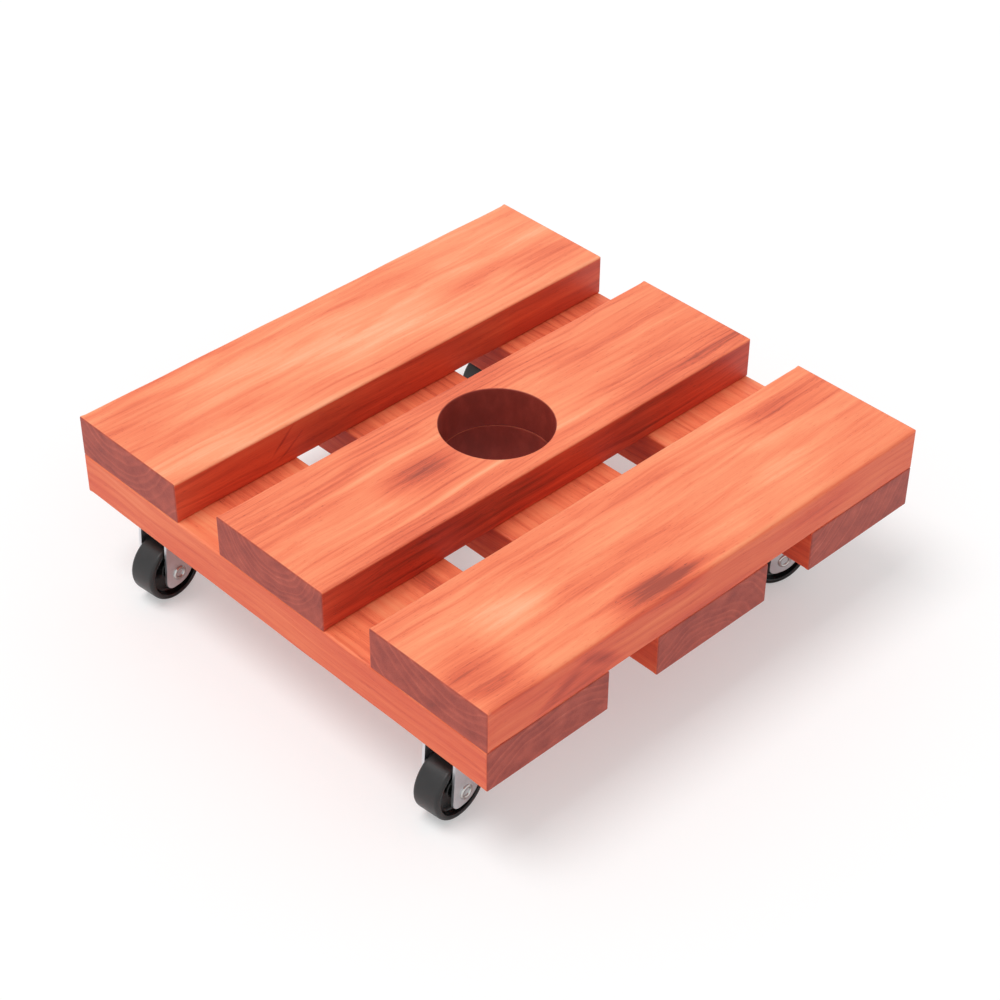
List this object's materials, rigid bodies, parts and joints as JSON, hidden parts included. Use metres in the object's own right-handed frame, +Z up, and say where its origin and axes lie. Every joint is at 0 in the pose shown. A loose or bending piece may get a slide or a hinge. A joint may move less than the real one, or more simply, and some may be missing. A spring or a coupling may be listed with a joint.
{
  "type": "rolling plant stand",
  "caption": "Square slatted wooden plant stand with a round drain hole, on small swivel casters that let it turn and roll with a pot on it.",
  "frame": {"origin": "on the floor under the middle of the deck", "axes": "+X along the top slats to the right, +Y along the bottom slats to the back, +Z up"},
  "size_m": [0.2535, 0.25, 0.081],
  "materials": {
    "stained_wood": "red-orange translucent stain on planed softwood, satin",
    "zinc_plated_steel": "bright zinc plating on stamped sheet",
    "screw_steel": "zinc-plated",
    "black_plastic": "satin moulded plastic"
  },
  "bodies": {
    "deck": {"top_slat_front": "stained_wood", "top_slat_middle": "stained_wood", "top_slat_back": "stained_wood", "bottom_slat_left": "stained_wood", "bottom_slat_middle": "stained_wood", "bottom_slat_right": "stained_wood", "slat_screws": "screw_steel", "caster_screws": "screw_steel", "caster_plates": "zinc_plated_steel", "kingpins": "zinc_plated_steel"},
    "caster_front_left": {"fork_front_left": "zinc_plated_steel", "axle_front_left": "zinc_plated_steel"},
    "roller_front_left": {"wheel_front_left": "black_plastic"},
    "caster_front_right": {"fork_front_right": "zinc_plated_steel", "axle_front_right": "zinc_plated_steel"},
    "roller_front_right": {"wheel_front_right": "black_plastic"},
    "caster_back_left": {"fork_back_left": "zinc_plated_steel", "axle_back_left": "zinc_plated_steel"},
    "roller_back_left": {"wheel_back_left": "black_plastic"},
    "caster_back_right": {"fork_back_right": "zinc_plated_steel", "axle_back_right": "zinc_plated_steel"},
    "roller_back_right": {"wheel_back_right": "black_plastic"}
  },
  "joints": [
    {"name": "swivel_front_left", "type": "hinge", "parent": "deck", "child": "caster_front_left", "pos_m": [-0.0995, -0.0905, 0.03525], "axis": [0, 0, 1], "continuous": true},
    {"name": "roll_front_left", "type": "hinge", "parent": "caster_front_left", "child": "roller_front_left", "pos_m": [-0.11345, -0.09172, 0.0145], "axis": [0.0872, -0.9962, 0], "continuous": true},
    {"name": "swivel_front_right", "type": "hinge", "parent": "deck", "child": "caster_front_right", "pos_m": [0.0995, -0.0905, 0.03525], "axis": [0, 0, 1], "continuous": true},
    {"name": "roll_front_right", "type": "hinge", "parent": "caster_front_right", "child": "roller_front_right", "pos_m": [0.08611, -0.08641, 0.0145], "axis": [-0.2924, -0.9563, 0], "continuous": true},
    {"name": "swivel_back_left", "type": "hinge", "parent": "deck", "child": "caster_back_left", "pos_m": [-0.0995, 0.0905, 0.03525], "axis": [0, 0, 1], "continuous": true},
    {"name": "roll_back_left", "type": "hinge", "parent": "caster_back_left", "child": "roller_back_left", "pos_m": [-0.11345, 0.08928, 0.0145], "axis": [0.0872, -0.9962, 0], "continuous": true},
    {"name": "swivel_back_right", "type": "hinge", "parent": "deck", "child": "caster_back_right", "pos_m": [0.0995, 0.0905, 0.03525], "axis": [0, 0, 1], "continuous": true},
    {"name": "roll_back_right", "type": "hinge", "parent": "caster_back_right", "child": "roller_back_right", "pos_m": [0.08553, 0.09148, 0.0145], "axis": [-0.0698, -0.9976, 0], "continuous": true}
  ]
}
